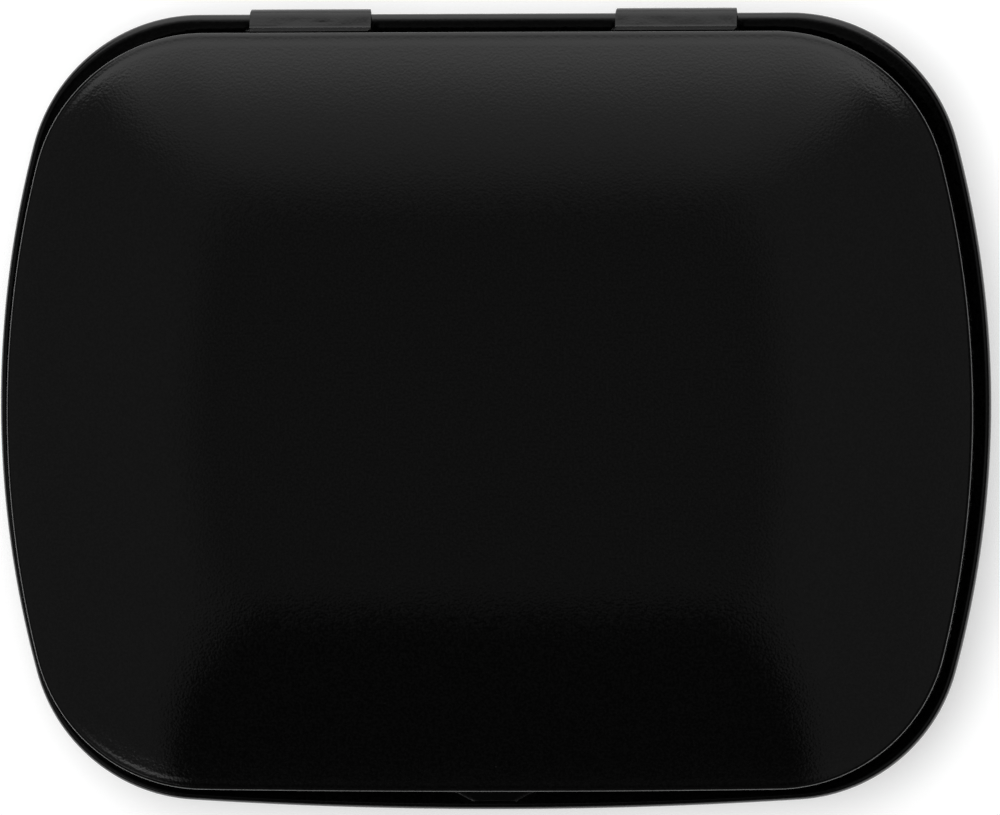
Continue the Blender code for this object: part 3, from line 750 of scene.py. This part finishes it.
def add_lip(mesh, root):
    """The thumb lip: bent out of the skirt, narrower at its tip, its sides a little turned down."""
    path = []
    for angle in arc(0, LIP_FOLD_DEG, LIP_FOLD_ROWS)[1:]:
        path.append((LIP_FOLD_RADIUS * (1 - math.cos(angle)), -LIP_FOLD_RADIUS * math.sin(angle)))
    start, end = path[-1], (half_sheet + LIP_REACH, half_sheet - lip_drop)
    path += [on_line(start, end, share) for share in stops(0, 1, LIP_ROWS)[1:] + [1.0]]
    level = root[0].co.z
    rows = []
    for out, drop in path:
        along = max(0.0, (out - half_sheet) / LIP_REACH)
        narrow = 1 - (1 - LIP_TIP_WIDTH / LIP_ROOT_WIDTH) * along
        row = []
        for vert in root:
            from_side = (LIP_ROOT_WIDTH / 2 - abs(vert.co.x)) * narrow
            turned = LIP_SIDE_DROP * max(0.0, 1 - from_side / LIP_SIDE_WIDTH) ** 2
            turned = turned * min(1.0, along / LIP_SIDE_GROWTH)
            row.append(Vector((vert.co.x * narrow, vert.co.y - out, level + drop - turned)))
        rows.append(row)
    add_strip(mesh, root, rows)


def make_lid():
    """The lid's pressing with its ripples inside the edge, its knuckles and its thumb lip."""
    mesh = bmesh.new()
    rows = add_rings(mesh, lid_rings())
    mesh.faces.new(list(reversed(rows[-1])))
    inside_edge = rows[SKIRT_ROWS + len(edge_profile()) :]
    for n, row in enumerate(inside_edge):
        ripple = RIPPLE_DEPTH * min(1.0, n / RIPPLE_FADE_ROWS)
        for vert in row:
            vert.co.z += ripple * noise.noise(vert.co / RIPPLE_SIZE)
    dice = random.Random(DENT_SEED)
    first = BACK_STEPS + SLOT_STEPS
    skirt_edge = rows[0]
    add_knuckle(mesh, skirt_edge[first : first + KNUCKLE_STEPS + 1], dice)
    last = station_count - first
    add_knuckle(mesh, skirt_edge[last - KNUCKLE_STEPS : last + 1], dice)
    front = station_count // 2
    add_lip(mesh, skirt_edge[front - LIP_STEPS : front + LIP_STEPS + 1])
    return sheet_piece("lid_pressing", mesh, tin_materials)


lid = make_lid()
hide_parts("lid")
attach(lid, "lid")

# The mints: dry powder pressed between two dished punches, so each has two domed faces, a straight band
# between them and a sharp land that chips. They lie loose where they fell.
MINT_DIAMETER = 8.0 * MM
MINT_THICKNESS = 3.6 * MM
MINT_BAND = 1.8 * MM
MINT_LAND = 0.12 * MM
MINT_LAND_DEG = 70.0
MINT_FACE_START = 0.2
MINT_FACE_ROWS, MINT_LAND_ROWS, MINT_BAND_ROWS = 9, 4, 3
MINT_SIDES = 56
MINT_SHAPES = 8
MINT_SEED = 3
MINT_SEED_STEP = 10
PITTING_DEPTH = 0.018 * MM
PITTING_SIZE = 1.0 * MM
PITTING_OCTAVES = 3
CHIP_DEPTH = 0.32 * MM
CHIP_SIZE = 1.3 * MM
CHIP_FROM = 0.25
SUGAR_WHITE = "f5f4f0"
SUGAR_SHADE = "e8e8e3"
SUGAR_ROUGHNESS = 0.78
SUGAR_IOR = 1.45
SUGAR_SOFTNESS = 0.15
SUGAR_SOFT_DEPTH = 0.4 * MM
SUGAR_CLOUD_SIZE = 1.28 * MM
SUGAR_CLOUD_DETAIL = 4.0
GRANULE_SIZE = 0.16 * MM
GRANULE_DEPTH = 0.02 * MM
GRANULE_STRENGTH = 0.5


def make_sugar(name):
    """Pressed sugar: off-white, dull, with the granules of the powder and a few open pores."""
    material, tree, place = new_surface(name)
    granules = add(tree, "ShaderNodeTexVoronoi", {"Vector": place, "Scale": 1 / GRANULE_SIZE})
    cloud = cloudy(tree, place, SUGAR_CLOUD_SIZE, SUGAR_CLOUD_DETAIL)
    height = worked_out(tree, "ADD", granules.outputs["Distance"], cloud)
    settings = {
        "Base Color": mixed(tree, cloud, linear(SUGAR_WHITE), linear(SUGAR_SHADE)),
        "Roughness": SUGAR_ROUGHNESS,
        "IOR": SUGAR_IOR,
        "Subsurface Weight": SUGAR_SOFTNESS,
        "Subsurface Scale": SUGAR_SOFT_DEPTH,
        "Normal": embossed(tree, height, GRANULE_DEPTH, GRANULE_STRENGTH),
    }
    finish_surface(tree, settings)
    return material


def face_height(radius):
    """Height of a mint's domed face over its middle plane at a radius."""
    crown = (MINT_THICKNESS - MINT_BAND) / 2
    sphere = ((MINT_DIAMETER / 2) ** 2 + crown**2) / (2 * crown)
    return MINT_THICKNESS / 2 - sphere + math.sqrt(sphere**2 - radius**2)


def mint_half():
    """Radius and height of a mint's upper half, from near the crown to the middle of the band."""
    edge = MINT_DIAMETER / 2
    face_end = edge - 2 * MINT_LAND
    half = [(r, face_height(r)) for r in stops(MINT_FACE_START * edge, face_end, MINT_FACE_ROWS)]
    top = face_height(face_end)
    for angle in arc(MINT_LAND_DEG, 0, MINT_LAND_ROWS):
        half.append((edge - MINT_LAND * (1 - math.cos(angle)), top - MINT_LAND * (1 - math.sin(angle))))
    return half + [(edge, z) for z in stops(top - MINT_LAND, 0, MINT_BAND_ROWS)[1:]] + [(edge, 0.0)]


def make_mint_shape(number, material):
    """One mint's mesh: turned from its half section, pitted all over and chipped along its land."""
    half = mint_half()
    profile = half + [(r, -z) for r, z in reversed(half[:-1])]
    seed = Vector((number * MINT_SEED_STEP, 0, 0))
    mesh = bmesh.new()
    rows = []
    for r, z in profile:
        row = []
        for i in range(MINT_SIDES):
            angle = 2 * math.pi * i / MINT_SIDES
            point = Vector((r * math.cos(angle), r * math.sin(angle), z))
            worn = PITTING_DEPTH * noise.fractal(point / PITTING_SIZE + seed, 1.0, 2.0, PITTING_OCTAVES)
            land = bell(r, MINT_DIAMETER / 2, 2 * MINT_LAND) * bell(abs(z), MINT_BAND / 2, 2 * MINT_LAND)
            chip = max(0.0, noise.noise(point / CHIP_SIZE - seed) - CHIP_FROM) * land
            row.append(mesh.verts.new(point * (1 - (abs(worn) + CHIP_DEPTH * chip) / point.length)))
        rows.append(row)
    for high, low in zip(rows, rows[1:]):
        for i in range(MINT_SIDES):
            j = (i + 1) % MINT_SIDES
            mesh.faces.new((low[i], low[j], high[j], high[i]))
    for row, height in ((rows[0], MINT_THICKNESS / 2), (list(reversed(rows[-1])), -MINT_THICKNESS / 2)):
        crown = mesh.verts.new(Vector((0, 0, height)))
        for i in range(MINT_SIDES):
            mesh.faces.new((row[i], row[(i + 1) % MINT_SIDES], crown))
    data = bpy.data.meshes.new(f"mint_shape_{number}")
    mesh.to_mesh(data)
    mesh.free()
    data.shade_smooth()
    data.materials.append(material)
    return data


def lie_of(node):
    """Middle of a mint and the way that its upper face looks, from its highest and lowest points."""
    points = sorted((v.co for v in node.data.vertices), key=lambda p: p.z)
    return (points[0] + points[-1]) / 2, (points[-1] - points[0]).normalized()


sugar = make_sugar("pressed_sugar_tablet")
mint_shapes = [make_mint_shape(number, sugar) for number in range(MINT_SHAPES)]
mint_dice = random.Random(MINT_SEED)
for mint_name in sorted(name for name in frame["nodes"] if name.startswith("mint_")):
    mint_middle, mint_up = lie_of(frame["nodes"][mint_name])
    mint = bpy.data.objects.new(f"pressed_{mint_name}", mint_dice.choice(mint_shapes))
    bpy.context.scene.collection.objects.link(mint)
    lean = Vector((0, 0, 1)).rotation_difference(mint_up).to_matrix().to_4x4()
    mint.matrix_world = lean
    mint.location = mint_middle
    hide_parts(mint_name)
    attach(mint, "tray")

# The table: a white sweep that the tin stands on. It holds the tin's soft shadow.
TABLE_SIZE = 8.0
TABLE_DROP = 0.01 * MM
TABLE_WHITE = "d8d8d8"
TABLE_GLOW = 0.42


def make_table():
    """A flat white sheet, brighter to the lens than the light alone makes it, so that it reads as white."""
    data = bpy.data.meshes.new("table")
    mesh = bmesh.new()
    bmesh.ops.create_grid(mesh, x_segments=1, y_segments=1, size=TABLE_SIZE / 2)
    mesh.to_mesh(data)
    mesh.free()
    table = bpy.data.objects.new("table", data)
    table.location.z = tray_low.z - TABLE_DROP
    bpy.context.scene.collection.objects.link(table)
    material, tree, _ = new_surface("white_paper_sweep")
    path = add(tree, "ShaderNodeLightPath").outputs
    seen = worked_out(tree, "ADD", path["Is Camera Ray"], path["Is Glossy Ray"])
    seen = worked_out(tree, "ADD", seen, path["Is Transmission Ray"])
    paper = add(tree, "ShaderNodeBsdfDiffuse", {"Color": linear(TABLE_WHITE)})
    light = add(tree, "ShaderNodeEmission", {"Strength": worked_out(tree, "MULTIPLY", seen, TABLE_GLOW)})
    both = add(tree, "ShaderNodeAddShader", {0: paper.outputs["BSDF"], 1: light.outputs["Emission"]})
    add(tree, "ShaderNodeOutputMaterial", {"Surface": both.outputs["Shader"]})
    data.materials.append(material)


make_table()

# The light: a soft tent, dark overhead, bright low down behind, dim at the sides and dark in front, where a
# black card grows wider towards the table beside one lighter patch low at the left. A wide soft lamp overhead
# lights the table and the mints, and is kept out of the reflections as a flag would keep it.
TENT_BACK = (
    (0.0, 0.075),
    (0.08, 0.09),
    (0.15, 0.155),
    (0.24, 0.265),
    (0.38, 0.375),
    (0.44, 0.43),
    (0.51, 0.57),
    (0.59, 0.87),
    (0.67, 1.2),
    (1.0, 1.6),
)
TENT_SIDE = (
    (0.0, 0.105),
    (0.05, 0.115),
    (0.12, 0.165),
    (0.3, 0.17),
    (0.6, 0.165),
    (0.75, 0.19),
    (0.83, 0.07),
    (1.0, 0.06),
)
TENT_FRONT = (
    (0.0, 0.105),
    (0.04, 0.09),
    (0.09, 0.025),
    (0.3, 0.032),
    (0.62, 0.03),
    (0.7, 0.05),
    (0.9, 0.06),
    (1.0, 0.08),
)
TENT_BRIGHTEST = 2.0
TENT_TOP_X = 0.094
BACK_EDGE = (0.74, 0.985)
BACK_WIDENING = (
    (0.0, 0.0),
    (0.3, 0.0),
    (0.42, 0.07),
    (0.62, 0.05),
    (0.67, 0.2),
    (0.73, 0.2),
    (0.76, 0.0),
)
SPOT_LEAN = ((0.0, 0.0), (0.67, 0.0), (0.7, 1.0), (0.735, 1.0), (0.765, 0.0))
SPOT_WAY = ((0.0, 0.0), (0.12, 0.0), (0.3, 1.0), (0.5, 1.0), (0.75, 0.0))
SPOT_LIGHT = 1.4
CARD_MIDDLE = 0.006
CARD_HALF_WIDTH = ((0.0, 0.0), (0.08, 0.03), (0.19, 0.095), (0.39, 0.16), (1.0, 0.16))
CARD_SOFTNESS = 0.08
FILL_SIZE = 0.6
FILL_HEIGHT = 1.0
FILL_POWER = 8.0


def ramp(tree, share, stops_at):
    """A grey that follows a list of (place, value) as a share grows from 0 to 1."""
    made = add(tree, "ShaderNodeValToRGB", {"Fac": share})
    for i, (place, value) in enumerate(stops_at):
        stop = made.color_ramp.elements[i] if i < 2 else made.color_ramp.elements.new(place)
        stop.position = place
        stop.color = (value, value, value, 1)
    return made.outputs["Color"]


def make_tent():
    """The world's light by direction. Lean is the sine of a direction's angle to the top of the tent, and
    back is the cosine of its bearing from the back."""
    world = bpy.data.worlds.new("tent")
    world.use_nodes = True
    bpy.context.scene.world = world
    tree = world.node_tree
    tree.nodes.clear()
    way = add(tree, "ShaderNodeTexCoord").outputs["Generated"]
    split = add(tree, "ShaderNodeSeparateXYZ", {"Vector": way}).outputs
    x = worked_out(tree, "ADD", split["X"], TENT_TOP_X)
    y = split["Y"]
    lean_squared = worked_out(tree, "MULTIPLY_ADD", y, y, worked_out(tree, "MULTIPLY", x, x))
    lean = worked_out(tree, "SQRT", lean_squared)
    back = worked_out(tree, "DIVIDE", y, lean)
    in_front = worked_out(tree, "LESS_THAN", y, 0.0)
    # Bright behind, over a bearing that widens low down, and dim at the sides.
    light = {}
    for name, stops_at in (("back", TENT_BACK), ("side", TENT_SIDE), ("front", TENT_FRONT)):
        light[name] = ramp(tree, lean, [(place, value / TENT_BRIGHTEST) for place, value in stops_at])
    widened = worked_out(tree, "ADD", back, ramp(tree, lean, BACK_WIDENING))
    to_back = carried(tree, widened, BACK_EDGE, (0.0, 1.0), "SMOOTHSTEP")
    behind = mixed(tree, to_back, light["side"], light["back"])
    # The black card in front, narrow overhead and wider towards the table.
    from_middle = worked_out(tree, "ABSOLUTE", worked_out(tree, "SUBTRACT", x, CARD_MIDDLE))
    past_edge = worked_out(tree, "SUBTRACT", from_middle, ramp(tree, lean, CARD_HALF_WIDTH))
    card_edge = (CARD_SOFTNESS / 2, -CARD_SOFTNESS / 2)
    on_card = carried(tree, past_edge, card_edge, (0.0, 1.0), "SMOOTHSTEP")
    around = mixed(tree, worked_out(tree, "MULTIPLY", on_card, in_front), behind, light["front"])
    # The lighter patch low at the front left.
    left = worked_out(tree, "MULTIPLY", worked_out(tree, "DIVIDE", x, lean), -1.0)
    spot = ramp(tree, left, SPOT_WAY)
    for share in (ramp(tree, lean, SPOT_LEAN), in_front):
        spot = worked_out(tree, "MULTIPLY", spot, share)
    spot_light = SPOT_LIGHT / TENT_BRIGHTEST
    lit = mixed(tree, spot, around, (spot_light, spot_light, spot_light, 1))
    # Looked at straight on, all round is white.
    path = add(tree, "ShaderNodeLightPath").outputs
    straight = worked_out(tree, "ADD", path["Is Camera Ray"], path["Is Transmission Ray"])
    tent = add(tree, "ShaderNodeBackground", {"Color": lit, "Strength": TENT_BRIGHTEST})
    white = add(tree, "ShaderNodeBackground", {"Color": linear("ffffff"), "Strength": 1.0})
    both = {0: straight, 1: tent.outputs["Background"], 2: white.outputs["Background"]}
    seen = add(tree, "ShaderNodeMixShader", both)
    add(tree, "ShaderNodeOutputWorld", {"Surface": seen.outputs["Shader"]})


make_tent()
fill_lamp = bpy.data.lights.new("overhead_fill", "AREA")
fill_lamp.shape = "DISK"
fill_lamp.size = FILL_SIZE
fill_lamp.energy = FILL_POWER
fill = bpy.data.objects.new("overhead_fill", fill_lamp)
fill.location = (0, 0, FILL_HEIGHT)
fill.visible_camera = False
fill.visible_glossy = False
bpy.context.scene.collection.objects.link(fill)

# The camera looks almost straight down through a long lens, from a little to the right, with the hinge at the
# top of the picture.
IMAGE_WIDTH_PX = 1000
IMAGE_HEIGHT_PX = 815
TIN_MIDDLE_X_PX = 494.97
TIN_MIDDLE_Y_PX = 411.4
PX_PER_MM = 16.474
CAMERA_LEAN_DEG = 5.4
CAMERA_ROLL_DEG = -0.115
LENS_MM = 700.0
SENSOR_MM = 36.0

lens = bpy.data.cameras.new("camera")
lens.lens = LENS_MM
lens.sensor_width = SENSOR_MM
camera = bpy.data.objects.new("camera", lens)
bpy.context.scene.collection.objects.link(camera)
camera.rotation_euler = (0, math.radians(CAMERA_LEAN_DEG), 0)
bpy.context.view_layer.update()
turn = camera.matrix_world.to_3x3()
distance = IMAGE_WIDTH_PX * LENS_MM / (SENSOR_MM * PX_PER_MM) * MM
right = (IMAGE_WIDTH_PX / 2 - TIN_MIDDLE_X_PX) / PX_PER_MM * MM
up = (TIN_MIDDLE_Y_PX - IMAGE_HEIGHT_PX / 2) / PX_PER_MM * MM
tin_middle = Vector((0, (bead_back_y + bead_front_y) / 2, hinge.z))
camera.location = tin_middle + turn @ Vector((right, up, distance))
camera.rotation_euler.rotate_axis("Z", math.radians(CAMERA_ROLL_DEG))
bpy.context.scene.camera = camera
bpy.context.scene.view_settings.view_transform = "Standard"
